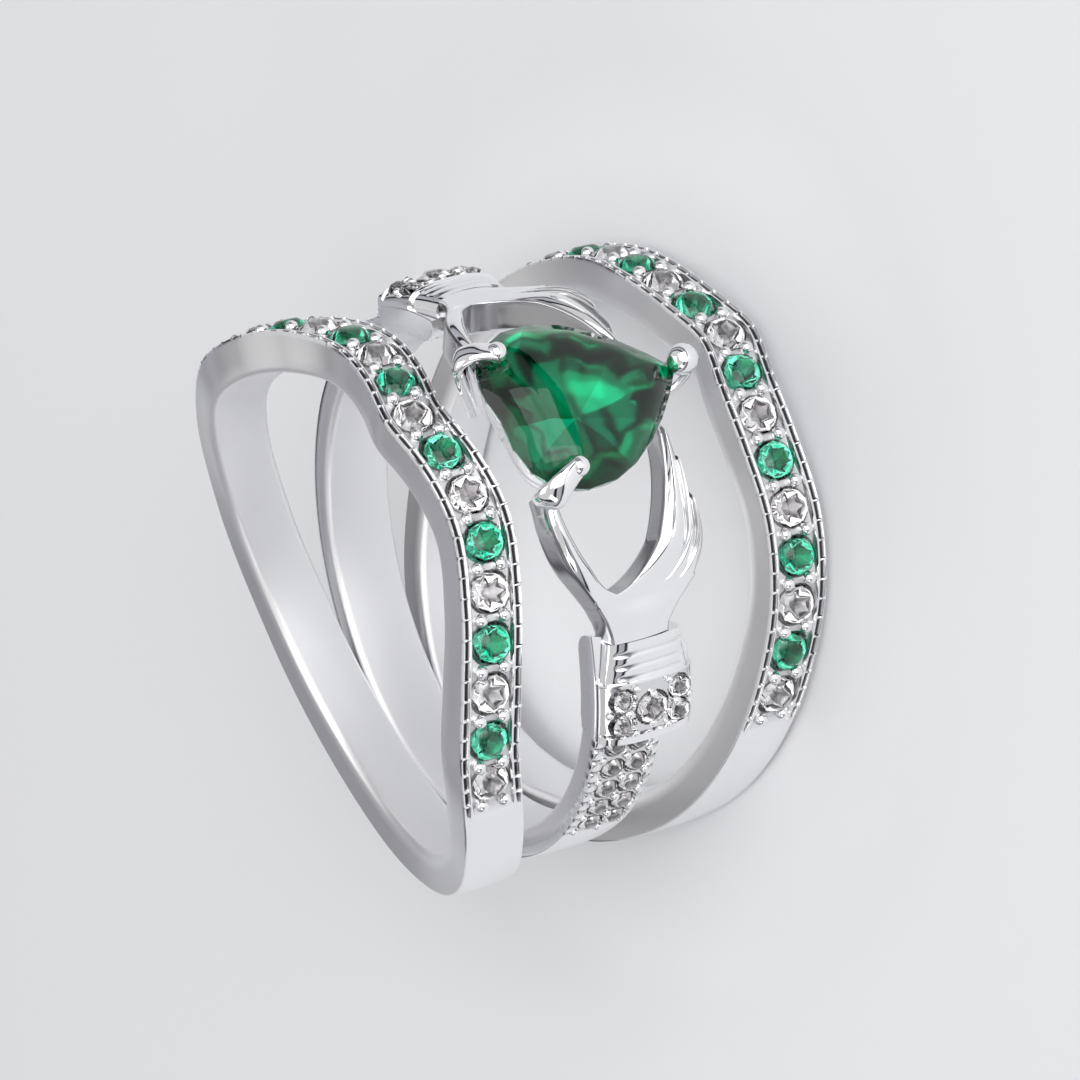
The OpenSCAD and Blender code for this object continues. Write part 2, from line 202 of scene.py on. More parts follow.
def soft_lamp(name, place, aim, size, watts):
    """A square soft lamp at a place, turned to its aim, both in metres."""
    light = bpy.data.lights.new(name, "AREA")
    light.shape, light.size, light.energy = "SQUARE", size, watts
    away = unit(np.subtract(place, aim))
    beside = unit(np.cross((0.0, 0.0, 1.0), away))
    facing = Matrix([beside, np.cross(away, beside), away]).transposed()
    put_in_room(name, light).matrix_world = Matrix.Translation(place) @ facing.to_4x4()


soft_lamp("lamp_over", (0.05, 0.05, 0.35), ring_middle, size=0.25, watts=0.25)
soft_lamp("lamp_head", (-0.12, -0.38, 0.28), ring_middle, size=0.5, watts=1.2)
soft_lamp("lamp_front", (-0.104, -0.116, 0.062), (-0.02, -0.025, 0.0), size=0.11, watts=0.045)
soft_lamp("lamp_left", (-0.35, 0.1, 0.2), ring_middle, size=0.15, watts=0.12)

# The side bands. Each is a cast silver hoop, polished inside and on its flanks, whose face
# carries a row of seats between two bright-cut rims. Each band swings away from the middle
# band towards the head and dips in a shallow notch that clears the heart.
hole_r = 8.65
side_r = hole_r + 1.5
side_half = 1.125
side_inner_r = hole_r + 0.05
side_flank_r = np.array([9.3, 9.8, side_r - 0.12, side_r - 0.08])
inner_round = 0.25
plain_dome = 0.06
palm_along = 2.225
upper_reach, lower_reach = 5.7, 7.4
notch_round = 3.5
# Painted shade: how much darker each band's flank is painted, as a greyer reflection, plus more towards the
# palm.
upper_flank_dark, lower_flank_dark, palm_flank_dark = 0.0, 0.2, 0.25
# Each band's distance from the middle band at these angles from the notch, as shares of its reach.
fan_angles = np.array([0, 12, 25, 40, 55, 70, 90, 115, 145, 180.0])
upper_fan = np.array([0.83, 0.70, 0.66, 0.80, 0.95, 1, 0.81, 0.48, 0.15, 0])
lower_fan = np.array([1, 0.90, 0.87, 0.87, 0.81, 0.70, 0.56, 0.40, 0.15, 0])
stone_d, stone_pitch, half_row = 1.4, 1.67, 8
row_half_length = (half_row + 0.5) * stone_pitch + 0.05
line_across, line_wide, line_deep = 0.955, 0.055, 0.16
nick_pitch, nick_rise = 0.4 * stone_pitch, 0.04
rim_from, rim_to, rim_rise = 0.70, 0.80, 0.03
seat_deep, bar_deep, bar_curve = 0.75, 0.13, 0.05
# Painted shade: how dark the bright-cut line and the bed between the rims are painted.
line_dark, bed_dark = 1.6, 0.3
bead_r, bead_across, bead_rise = 0.24, 0.43, 0.01
satin_edge, satin_finger, satin_finger_r, satin_flank_r = 0.1, 1.5, 8.8, 9.2


def through(places, values, at):
    """Smooth curve through chosen points: a cubic in each gap, whose slope at a point is that of the
    line between its neighbours, sharp at the first point and level at the last."""
    slopes = np.zeros(len(places))
    slopes[0] = (values[1] - values[0]) / (places[1] - places[0])
    slopes[1:-1] = (values[2:] - values[:-2]) / (places[2:] - places[:-2])
    i = np.clip(np.searchsorted(places, at, side="right") - 1, 0, len(places) - 2)
    gap = places[i + 1] - places[i]
    t = (at - places[i]) / gap
    return (values[i] * (1 + 2 * t) * (1 - t) ** 2 + values[i + 1] * t ** 2 * (3 - 2 * t)
            + gap * (slopes[i] * t * (1 - t) ** 2 + slopes[i + 1] * t ** 2 * (t - 1)))


def ramp(low, high, x):
    """Smooth step from 0 at low to 1 at high: t squared times 3 minus 2 t."""
    t = np.clip((x - low) / (high - low), 0, 1)
    return t * t * (3 - 2 * t)


def on_ring(angle, radius, along):
    """Points at an angle in degrees from the notch, a radius and a height: (-r sin a, -r cos a, z)."""
    a = np.radians(angle)
    return np.stack(np.broadcast_arrays(-radius * np.sin(a), -radius * np.cos(a), along), -1)


def grid_faces(rows, columns, wrap_rows=False):
    """Quads between neighbouring rows and columns of a grid of points, numbered row by row. The last
    column joins the first one, and with wrapped rows the last row joins the first one."""
    i = np.arange(rows if wrap_rows else rows - 1)[:, None]
    j = np.arange(columns)[None, :]
    after, right = (i + 1) % rows, (j + 1) % columns
    return np.stack([i * columns + j, i * columns + right, after * columns + right, after * columns + j],
                    -1).reshape(-1, 4)


def skin(rings, wrap=False):
    """Closed skin over rings of points, one ring after another, with a cap on each end unless wrapped."""
    count, size = rings.shape[:2]
    faces = [grid_faces(count, size, wrap_rows=wrap)]
    if not wrap:
        end = np.arange(size)[None, :]
        faces += [end[:, ::-1], end + (count - 1) * size]
    return rings.reshape(-1, 3), faces


def ball(radius, rings=7, sides=12):
    """Round bead about its middle: rings from pole to pole, closed with a point at each, z outwards."""
    polar = np.radians(np.linspace(0, 180, rings + 2)[1:-1])[:, None]
    turn = np.radians(np.arange(sides) * 360 / sides)[None, :]
    x, y = radius * np.sin(polar) * np.cos(turn), radius * np.sin(polar) * np.sin(turn)
    round_skin = np.stack(np.broadcast_arrays(x, y, radius * np.cos(polar)), -1).reshape(-1, 3)
    poles = np.array([[0, 0, radius], [0, 0, -radius]])
    j = np.arange(sides)
    last = (rings - 1) * sides
    top = np.stack([np.full(sides, len(round_skin)), j, (j + 1) % sides], -1)
    bottom = np.stack([np.full(sides, len(round_skin) + 1), last + (j + 1) % sides, last + j], -1)
    return np.concatenate([round_skin, poles]), [grid_faces(rings, sides)[:, ::-1], top, bottom]


def set_down(points, angle, radius, along, spin=0.0, tilt=0.0):
    """Puts a shape on the ring: its x round the ring, y along the finger, z outwards, after a spin about
    z and a tilt towards y, all in degrees."""
    s, t, a = np.radians(spin), np.radians(tilt), np.radians(angle)
    x, y, z = points[:, 0], points[:, 1], points[:, 2]
    x, y = x * np.cos(s) - y * np.sin(s), x * np.sin(s) + y * np.cos(s)
    y, z = y * np.cos(t) + z * np.sin(t), z * np.cos(t) - y * np.sin(t)
    out = radius + z
    return np.stack([x * np.cos(a) - out * np.sin(a), -x * np.sin(a) - out * np.cos(a), along + y], -1)


def facing_out(points, faces):
    """A closed shape's groups of faces, turned over where its signed volume is below zero: the sum, over
    the triangles that fan from each face's first corner, of first dot (second cross third)."""
    volume = sum((points[g[:, :1]] * np.cross(points[g[:, 1:-1]], points[g[:, 2:]])).sum() for g in faces)
    return faces if volume > 0 else [g[:, ::-1] for g in faces]


def make_piece(name, parts, material, slot, stands_for, smooth=38.0, tint=None, satin_r=None, **marks):
    """One object from parts, each its points in mm and its groups of faces, numbered from its own first
    point. Edges sharper than smooth degrees stay sharp. The facet glint, painted light that stands in for
    what each facet sends back, is one value a face, and each other mark one a point, which is 0 on the
    points past its end. Inside the satin radius the polish is softer."""
    starts = np.cumsum([0] + [len(points) for points, _ in parts])
    points = np.concatenate([points for points, _ in parts])
    groups = [group + start for part, start in zip(parts, starts) for group in facing_out(*part)]
    corners = np.concatenate([group.ravel() for group in groups])
    sides = np.concatenate([np.full(len(group), group.shape[1]) for group in groups])
    mesh = bpy.data.meshes.new(name)
    mesh.vertices.add(len(points))
    mesh.vertices.foreach_set("co", lay(points).ravel())
    mesh.loops.add(len(corners))
    mesh.loops.foreach_set("vertex_index", corners)
    mesh.polygons.add(len(sides))
    mesh.polygons.foreach_set("loop_start", np.cumsum(sides) - sides)
    mesh.update(calc_edges=True)
    mesh.validate()
    if smooth:
        mesh.shade_smooth()
        mesh.set_sharp_from_angle(angle=np.radians(smooth))
    if satin_r:
        from_axis = np.hypot(points[:, 0], points[:, 1])
        by_finger = satin_finger + (1 - satin_finger) * ramp(satin_finger_r, satin_flank_r, from_axis)
        marks["satin"] = (1 - ramp(satin_r - satin_edge, satin_r, from_axis)) * by_finger
    for mark, values in marks.items():
        spread = np.pad(values, (0, len(points) - len(values)))
        mesh.attributes.new(mark, "FLOAT", "POINT").data.foreach_set("value", spread)
    if tint is not None:
        mesh.attributes.new("tint", "FLOAT", "FACE").data.foreach_set("value", tint)
    mesh.materials.append(material)
    piece = put_in_room(name, mesh)
    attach(piece, "root")
    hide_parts(*stands_for)


def band_along(side, angle):
    """Height of a side band's middle line along the finger: palm height plus its share of the reach,
    with the notch rounded by taking the angle as the root of its square plus that of the rounding."""
    reach, shares = (upper_reach, upper_fan) if side > 0 else (lower_reach, lower_fan)
    rounded = np.minimum(np.hypot(angle, notch_round), 180)
    return side * (palm_along + (reach - palm_along) * through(fan_angles, shares, rounded))


def band_arc(side):
    """Angles from 0 to 180 degrees and the length along the band's face up to each."""
    angles = np.linspace(0, 180, 1801)
    steps = np.hypot(np.radians(np.diff(angles)) * side_r, np.diff(band_along(side, angles)))
    return angles, np.concatenate([[0], np.cumsum(steps)])


def angle_at(side, length):
    """The angle at a length along the band's face from the notch, read off the band's arc."""
    angles, lengths = band_arc(side)
    return np.sign(length) * np.interp(np.abs(length), lengths, angles)


def length_at(side, angle):
    """The length along the band's face at an angle from the notch, read off the band's arc."""
    angles, lengths = band_arc(side)
    return np.sign(angle) * np.interp(np.abs(angle), angles, lengths)


def back_from_notch(angle):
    """Angles past half a turn, counted backwards from the notch."""
    return np.where(angle > 180, angle - 360, angle)


def both_sides(half):
    """Places from one edge to the middle, and on to the other edge."""
    return np.concatenate([half, -half[-2::-1]])


def hoop_flank(half, inner_r, flank_r):
    """Places across and radii up one side of a hoop: a quarter round from its inner face, then its flank."""
    quarter = np.radians(np.linspace(0, 90, 5))
    across = np.concatenate([half - inner_round * (1 - np.sin(quarter)), np.full(len(flank_r), half)])
    return across, np.concatenate([inner_r + inner_round * (1 - np.cos(quarter)), flank_r])


def hoop_profile(flank, face, face_r):
    """A hoop's profile at each angle: up one flank, over the face and down the other flank."""
    flank_across, flank_r = flank[0], np.tile(flank[1], (len(face_r), 1))
    return (np.concatenate([flank_across, face, -flank_across[::-1]]),
            np.concatenate([flank_r, face_r, flank_r[:, ::-1]], 1))


def face_relief(length, across):
    """Height of a band's face over its radius: a bright-cut line with nicks across it, a rim inside the
    line, and bars between round seats. Also how dark the painted shade is at each point, from 0 up, on the
    line and in the bed."""
    from_middle = np.abs(across)
    nick = ramp(0.86, 0.97, np.cos(2 * np.pi * length / nick_pitch))
    line = np.exp(-((from_middle - line_across) / line_wide) ** 2) * (1 - nick)
    rim = ramp(rim_from, rim_to, from_middle)
    step = (length / stone_pitch + 0.5) % 1 - 0.5
    to_stone = np.hypot(step * stone_pitch, across)
    seat = 1 - ramp(stone_d / 2 - 0.04, stone_d / 2 + 0.02, to_stone)
    bar = -bar_deep - bar_curve * np.cos(2 * np.pi * step)
    bed = bar * (1 - seat) - seat_deep * seat
    edge = nick_rise * nick * ramp(0.9, 1.0, from_middle) - line_deep * line
    return bed * (1 - rim) + rim_rise * rim + edge, np.maximum(line_dark * line, bed_dark * (1 - rim))


def band_hoop(side):
    """Profile carried round the hoop, fine along the row of stones and coarse on the plain part. Returns
    the closed hoop, and the painted shade of each point: shade in the face's hollows, or a darker reflection
    on a flank."""
    row_end = angle_at(side, row_half_length)
    along_row = np.linspace(-row_end, row_end, 900)
    plain = np.linspace(row_end, 360 - row_end, 110)[1:-1]
    angle = back_from_notch(np.concatenate([along_row, plain]))
    face = both_sides(np.concatenate([[1.1], np.linspace(1.06, 0.66, 16), np.linspace(0.6, 0, 13)]))
    length = length_at(side, angle)[:, None]
    in_row = (np.abs(length) < row_half_length).astype(float)
    relief, recess = face_relief(length, face)
    dome = plain_dome * (1 - (face / side_half) ** 2)
    flank = hoop_flank(side_half, side_inner_r, side_flank_r)
    across, radius = hoop_profile(flank, face, side_r + relief * in_row + dome * (1 - in_row))
    points = on_ring(angle[:, None], radius, band_along(side, angle)[:, None] + across)
    # Painted shade on the flanks, as a darker reflection, growing towards the palm.
    shade = upper_flank_dark if side > 0 else lower_flank_dark
    shade = shade + palm_flank_dark * ramp(50, 130, np.abs(angle))
    flank_dark = shade[:, None] * np.isin(flank[1], side_flank_r)
    dark = np.concatenate([flank_dark, recess * in_row, flank_dark[:, ::-1]], 1)
    return skin(points, wrap=True), dark.ravel()


def mark_on(tree, mark):
    """A piece's own mark, read inside a material."""
    return Socket.node(tree, "ShaderNodeAttribute", {"attribute_name": mark})[2]


def mix_colours(tree, share, low, high):
    """A colour that runs from low to high as the share goes from 0 to 1."""
    colours = {"in6": (*low, 1), "in7": (*high, 1)}
    return Socket.node(tree, "ShaderNodeMix", {"data_type": "RGBA"}, in0=share, **colours)[2]


# Polished silver is almost white. Its colour is painted darker by the painted shade mark: shade in recesses,
# grooves and lines, and darker reflections on some flanks and edges. It is rougher there, and softer on the
# finger's side.
silver, silver_tree, silver_shader = new_material("polished_silver", Metallic=1.0, Roughness=0.07, IOR=1.45)
painted_shade_mark, in_satin = mark_on(silver_tree, "recess"), mark_on(silver_tree, "satin")
on_silver = Socket.node(silver_tree, "ShaderNodeTexCoord")[3]
haze = Socket.node(silver_tree, "ShaderNodeTexNoise", Vector=on_silver, Scale=900.0, Detail=3.0)[0]
# Painted shade: the colour runs from near white to dark grey as the painted shade mark rises.
fill_sockets(silver_tree, silver_shader,
             Base_Color=mix_colours(silver_tree, painted_shade_mark, (0.95, 0.95, 0.96), (0.16, 0.16, 0.17)),
             Roughness=0.045 + haze * 0.05 + painted_shade_mark * 0.2 + in_satin * 0.24)

for side, name in ((1, "upper_band"), (-1, "lower_band")):
    hoop, dark = band_hoop(side)
    beads = []
    for k in np.arange(-half_row, half_row + 2) - 0.5:
        at = angle_at(side, k * stone_pitch)
        for beside in (-bead_across, bead_across):
            bead, bead_faces = ball(bead_r)
            bead = set_down(bead, at, side_r + bead_rise, band_along(side, at) + beside)
            beads.append((bead, bead_faces))
    make_piece(name, [hoop] + beads, silver, "silver", ("ring",), recess=dark, satin_r=side_r)

# The side stones. Round brilliants, green and clear in turn, sit in the seats of each side band
# with two beads of silver pushed over their edges between one stone and the next.
stone_sink, stone_lap = 0.06, 0.04
brilliant_sides = 8
first_spin, spin_step = 11.25, 7


def cut_stone(outline, table_share, crown, girdle, pavilion, star_share=0.76, main_share=0.5):
    """A faceted stone over an outline of an even number of points, as shares of a table ring, a star ring,
    the girdle's two rings, a main ring on the pavilion and the culet. Even outline points carry the kites."""
    n = len(outline) // 2
    even, odd = outline[0::2], outline[1::2]
    flat = np.cos(np.pi / n)
    star_z = crown * (1 - star_share * flat) / (1 - table_share)
    main_z = -girdle - (pavilion - girdle) * (1 - main_share * flat)

    def ring(points, share, z):
        """The outline's points drawn in to a share of their distance, at one height."""
        return np.column_stack([points * share, np.full(len(points), z)])

    points = np.concatenate([
        ring(even, table_share, crown), ring(odd, star_share, star_z), ring(outline, 1, 0.0),
        ring(outline, 1, -girdle), ring(odd, main_share, main_z), [[0, 0, -pavilion]]])
    table, star, top, low, main, culet = 0, n, 2 * n, 4 * n, 6 * n, 7 * n
    i = np.arange(n)
    after, before = (i + 1) % n, (i - 1) % n
    kite, between, next_kite = 2 * i, 2 * i + 1, (2 * i + 2) % (2 * n)
    threes = np.concatenate([np.stack(corners, -1) for corners in (
        (table + i, star + i, table + after), (star + i, top + kite, top + between),
        (star + i, top + between, top + next_kite), (main + i, low + between, low + kite),
        (main + i, low + next_kite, low + between))])
    fours = np.concatenate([np.stack(corners, -1) for corners in (
        (table + i, star + before, top + kite, star + i),
        (top + kite, low + kite, low + between, top + between),
        (top + between, low + between, low + next_kite, top + next_kite),
        (low + kite, main + before, np.full(n, culet), main + i))])
    return points, [i[None, :], threes, fours]


def round_outline(diameter):
    """Points evenly round a circle, two for each side of a brilliant."""
    turn = np.arange(2 * brilliant_sides) * np.pi / brilliant_sides
    return diameter / 2 * np.column_stack([np.cos(turn), np.sin(turn)])


def gem(name, deep, bright, ior):
    """Clear stone whose facets are painted from a deep to a bright colour by each facet's glint, which stands
    in for the light that facet sends back.
    """
    material, tree, shader = new_material(name, Roughness=0.0, Transmission_Weight=1.0, IOR=ior)
    fill_sockets(tree, shader, Base_Color=mix_colours(tree, mark_on(tree, "tint"), deep, bright))
    return material


def facet_glints(faces, seed):
    """A painted glint from 0 to 1 for each facet, which stands in for the light it sends back: a seeded draw,
    most of them low and a few near 1.
    """
    count = sum(len(group) for group in faces)
    return np.random.default_rng(seed).random(count) ** 1.6


# Painted reflections: each gem's deep and bright colours are the ends of its painted facet glints.
clear_gem = gem("clear_stone", deep=(0.55, 0.52, 0.53), bright=(1, 1, 1), ior=1.9)
green_gem = gem("green_stone", deep=(0.0, 0.26, 0.13), bright=(0.2, 0.85, 0.6), ior=1.6)

brilliant, brilliant_faces = cut_stone(round_outline(stone_d + stone_lap), table_share=0.5, crown=0.27,
                                       girdle=0.03, pavilion=0.6, main_share=0.3)
for side, name in ((1, "upper"), (-1, "lower")):
    for k in range(-half_row, half_row + 1):
        number = k + half_row + 1
        at = angle_at(side, k * stone_pitch)
        set_stone = set_down(brilliant, at, side_r - stone_sink, band_along(side, at),
                             spin=first_spin + spin_step * k)
        gem_here, slot = (green_gem, "green_stone") if number % 2 == 0 else (clear_gem, "white_stone")
        make_piece(f"{name}_cut_stone_{number}", [(set_stone, brilliant_faces)], gem_here, slot,
                   (f"{name}_stone_{number}",), smooth=None,
                   tint=facet_glints(brilliant_faces, 200 + 100 * side + number))

# The middle band. A domed silver hoop, soldered between the side bands at the palm, that carries
# the head. It is turned twelve degrees round from the side bands' notches, and has two rows of
# small clear stones set in beads below each cuff.
head_turn = 12.0
mid_r = hole_r + 1.15
mid_half = 1.3
shank_dome = 0.15
shank_start = 60.5
shank_stone_d, shank_rows, shank_pitch = 0.85, 5, 1.05
shank_across = shank_stone_d / 2 + 0.03
row_angle = np.degrees(shank_pitch / mid_r)
row_first = shank_start + 1 + row_angle * 0.6
shank_end = row_first + row_angle * (shank_rows - 0.4)
shank_satin_r = 9.4
shank_bed_deep, shank_seat_deep, shank_cut_deep = 0.09, 0.42, 0.12
shank_bead_r, edge_bead_r = 0.17, 0.15
shank_bead_sink, shank_bead_fall, shank_stone_sink = 0.07, 0.05, 0.1


def shank_relief(angle, across):
    """Height of the set shank's face over its dome: a sunk bed with round seats, and cuts along both of
    its edges at every half pitch. Also how dark the painted shade is at each point, 0 to 1, in the bed, seats
    and cuts."""
    row = (np.abs(angle) - row_first) / row_angle
    from_middle = np.abs(across)
    last = shank_rows - 1
    inside = 1 - ramp(0.55, 0.62, np.abs(row - last / 2) - last / 2)
    to_row = (row - np.clip(np.round(row), 0, last)) * shank_pitch
    to_stone = np.hypot(to_row, from_middle - shank_across)
    seat = 1 - ramp(shank_stone_d / 2 - 0.03, shank_stone_d / 2 + 0.03, to_stone)
    bed = (1 - ramp(0.98, 1.04, from_middle)) * inside
    cut = np.exp(-((row * 2 - np.round(row * 2)) / 0.16) ** 2) * ramp(0.92, 1.02, from_middle) * inside
    return (-shank_bed_deep * bed - shank_seat_deep * seat * bed - shank_cut_deep * cut,
            np.maximum(bed * (0.25 + 0.45 * seat), cut * 0.8))


set_part = np.linspace(shank_start - 1, shank_end + 2, 190)
plain_part = np.linspace(shank_end + 2, 360 - shank_end - 2, 90)[1:-1]
shank_angle = back_from_notch(np.concatenate([set_part, plain_part, 360 - set_part[::-1]]))[:, None]
shank_face = both_sides(np.concatenate([np.linspace(1.28, 0.9, 10), np.linspace(0.85, 0, 18)]))
shank_height, shank_dark = shank_relief(shank_angle, shank_face)
shank_crown = mid_r - shank_dome + shank_dome * np.sqrt(1 - (shank_face / (mid_half + 0.001)) ** 2)
shank_flank = hoop_flank(mid_half, hole_r, np.array([9.3, mid_r - shank_dome - 0.02]))
shank_profile, shank_r = hoop_profile(shank_flank, shank_face, shank_crown + shank_height)
shank_parts = [skin(on_ring(shank_angle + head_turn, shank_r, shank_profile))]
flank_count = len(shank_flank[0])
# Painted shade on the shank's face; none on its flanks.
shank_painted_shade = np.pad(shank_dark, ((0, 0), (flank_count, flank_count))).ravel()

small_stones = []
small_brilliant, small_faces = cut_stone(round_outline(shank_stone_d), table_share=0.56, crown=0.16,
                                         girdle=0.03, pavilion=0.42)
for side in (1, -1):
    for row in np.arange(shank_rows + 1) - 0.5:
        at = side * (row_first + row * row_angle) + head_turn
        for beside in (-2 * shank_across, 0, 2 * shank_across):
            bead, bead_faces = ball(edge_bead_r if beside else shank_bead_r, rings=5, sides=10)
            bead = set_down(bead, at, mid_r - shank_bead_sink - shank_bead_fall * abs(beside), beside)
            shank_parts.append((bead, bead_faces))
    for row in range(shank_rows):
        at = side * (row_first + row * row_angle) + head_turn
        for beside in (-shank_across, shank_across):
            set_stone = set_down(small_brilliant, at, mid_r - shank_stone_sink, beside, spin=20 * row)
            small_stones.append((set_stone, small_faces))
make_piece("middle_shank", shank_parts, silver, "silver", ("ring",), recess=shank_painted_shade,
           satin_r=shank_satin_r)

# The cuffs. Above each set shank stands a raised silver cuff, cast with it, whose five clear stones
# are a large one in the middle and one at each corner. Then comes a plain polished barrel, from
# which the hand grows.
set_start, set_angle, plain_start = 48.2, 12.3, 40.8
cuff_r = hole_r + 2.1
cuff_half = 1.8
cuff_along = -0.22
cuff_foot_r, cuff_dome, cuff_power = hole_r + 0.5, 0.75, 0.78
cuff_lap = 0.3
cuff_bed_deep, cuff_seat_deep, cuff_bead_sink, cuff_stone_sink = 0.12, 0.45, 0.06, 0.1
barrel_r = cuff_r - 0.08
barrel_half_from, barrel_half_to, barrel_dome = 1.42, 1.66, 0.62
ring_places, ring_wide, ring_deep = (0.28, 0.58, 0.85), 0.045, 0.05
plate_r, plate_inner_r, plate_round = 10.0, hole_r + 0.42, 0.6
plate_start, plate_end, plate_skew = 42.0, shank_start + cuff_lap, 3.3
plate_half, plate_arc = cuff_half + 0.03, 14
# Each stone and bead: share of the set cuff's length, share of its half width, then diameter or radius.
cuff_stones = ((0.5, 0.0, 1.2), (0.3, 0.6, 0.85), (0.7, 0.6, 0.85), (0.3, -0.6, 0.85), (0.7, -0.6, 0.85))
cuff_beads = ((0.5, 0.5, 0.2), (0.5, -0.5, 0.2), (0.27, 0, 0.16), (0.74, 0, 0.16), (0.12, 0.35, 0.14),
              (0.12, -0.35, 0.14), (0.85, 0.35, 0.14), (0.85, -0.35, 0.14), (0.5, 0.85, 0.16),
              (0.5, -0.85, 0.16))


def cuff_wall(side):
    """A cuff's two side plates and what joins them: an outline of angle and radius, its arcs joined by
    straight ends and round at the inner corners, carried through the cuff's width with a small bevel."""
    quarter = np.radians(np.linspace(0, 90, 7))
    round_a = np.degrees(plate_round / plate_inner_r)
    inner = np.column_stack([np.linspace(plate_start + round_a, plate_end - round_a, plate_arc),
                             np.full(plate_arc, plate_inner_r)])
    far_corner = np.column_stack([plate_end - round_a * (1 - np.sin(quarter)),
                                  plate_inner_r + plate_round * (1 - np.cos(quarter))])
    near_corner = np.column_stack([plate_start + round_a * (1 - np.cos(quarter)),
                                   plate_inner_r + plate_round * (1 - np.sin(quarter))])
    outer = np.column_stack([np.linspace(plate_end, plate_start, plate_arc), np.full(plate_arc, plate_r)])
    angle, radius = np.concatenate([inner[:-1], far_corner, outer, near_corner[:-1]]).T
    from_side = np.array([0, 0.02, 0.07])
    z = np.concatenate([from_side - plate_half, (plate_half - from_side)[::-1]])[:, None]
    inset = np.array([0.07, 0.03, 0, 0, 0.03, 0.07])[:, None]
    angle = angle + (angle.mean() - angle) * inset / 4
    angle = angle - plate_skew * z / plate_half * (shank_start - angle) / (shank_start - plate_start)
    radius = radius + (radius.mean() - radius) * inset
    return skin(on_ring(side * angle + head_turn, radius, z + cuff_along))


def cuff_relief(share, across):
    """Height of the set cuff's face over its dome: a sunk bed inside rims at both ends and both sides,
    with round seats for the five stones. Also how dark the painted shade is at each point, 0 to 1, in the bed
    and most in the seats."""
    seat = np.zeros(np.broadcast(share, across).shape)
    for along, beside, d in cuff_stones:
        to_stone = np.hypot((share - along) * np.radians(set_angle) * cuff_r, across - beside * cuff_half)
        seat = np.maximum(seat, 1 - ramp(d / 2 - 0.03, d / 2 + 0.04, to_stone))
    bed = ramp(0.03, 0.06, share) * (1 - ramp(0.85, 0.88, share)) * (1 - ramp(1.74, 1.79, np.abs(across)))
    return -cuff_bed_deep * bed - cuff_seat_deep * seat * bed, bed * (0.2 + 0.45 * seat)


def barrel_relief(share, across):
    """Three fine lines turned across the plain barrel, which end before its sides. Also the painted shade in
    each line, darkest near one side.
    """
    line = sum(np.exp(-((share - place) / ring_wide) ** 2) for place in ring_places)
    line = line * (1 - ramp(1.1, 1.35, np.abs(across)))
    return -ring_deep * line, line * (0.12 + np.exp(-((across - 0.85) / 0.28) ** 2))


def cuff_body(side, from_a, to_a, half_from, half_to, top, dome, relief, steps, around):
    """Domed barrel: at each angle an arc fuller than an ellipse across the finger, with a flat base. Its
    sine and cosine are raised to the cuff's power. Returns the closed barrel and its painted shade marks."""
    angle = np.linspace(from_a, to_a, steps)[:, None]
    share = (angle - from_a) / (to_a - from_a)
    half = half_from + (half_to - half_from) * share
    t = np.radians(np.linspace(-90, 90, around))[None, :]
    across = half * np.sign(t) * np.abs(np.sin(t)) ** cuff_power
    height, dark = relief(share, across)
    radius = top - dome + dome * np.maximum(np.cos(t), 0) ** cuff_power + height
    radius = np.pad(radius, ((0, 0), (1, 1)), constant_values=cuff_foot_r)
    across = np.pad(across, ((0, 0), (1, 1)), "edge")
    dark = np.pad(dark, ((0, 0), (1, 1)))
    return skin(on_ring(side * angle + head_turn, radius, across + cuff_along)), dark.ravel()


def cuff_rise(beside):
    """Share of the dome's height at a share v of its half width: (1 - |v|^(2/p))^(p/2) for the power p."""
    return (1 - abs(beside) ** (2 / cuff_power)) ** (cuff_power / 2)


def on_cuff(points, side, along, beside, sink, **turned):
    """Puts a shape on the set cuff's dome, sunk a little, at shares of its length and half width."""
    radius = cuff_r - cuff_dome + cuff_dome * cuff_rise(beside) - sink
    return set_down(points, side * (set_start + along * set_angle) + head_turn, radius,
                    beside * cuff_half + cuff_along, **turned)


for side, name in ((1, "near_cuff"), (-1, "far_cuff")):
    set_cuff, set_dark = cuff_body(side, set_start, shank_start, half_from=cuff_half, half_to=cuff_half,
                                   top=cuff_r, dome=cuff_dome, relief=cuff_relief, steps=90, around=97)
    barrel, barrel_dark = cuff_body(side, plain_start, set_start + cuff_lap, half_from=barrel_half_from,
                                    half_to=barrel_half_to, top=barrel_r, dome=barrel_dome,
                                    relief=barrel_relief, steps=60, around=65)
    parts = [set_cuff, barrel, cuff_wall(side)]
    for along, beside, radius in cuff_beads:
        bead, bead_faces = ball(radius, rings=5, sides=10)
        parts.append((on_cuff(bead, side, along, beside, cuff_bead_sink), bead_faces))
    make_piece(name, parts, silver, "silver", ("ring",), recess=np.concatenate([set_dark, barrel_dark]),
               satin_r=plate_r)
    for along, beside, d in cuff_stones:
        stone, stone_faces = cut_stone(round_outline(d), table_share=0.5, crown=d * 0.18, girdle=0.03,
                                       pavilion=d * 0.42, main_share=0.3)
        slope = cuff_dome * (cuff_rise(beside + 0.01) - cuff_rise(beside)) / 0.01 / cuff_half if beside else 0
        stone = on_cuff(stone, side, along, beside, cuff_stone_sink, spin=15,
                        tilt=np.degrees(np.arctan(slope)))
        small_stones.append((stone, stone_faces))
small_glints = [facet_glints(faces, i) for i, (_, faces) in enumerate(small_stones)]
make_piece("small_stones", small_stones, clear_gem, "white_stone", ("pave_stones",), smooth=None,
           tint=np.concatenate(small_glints))

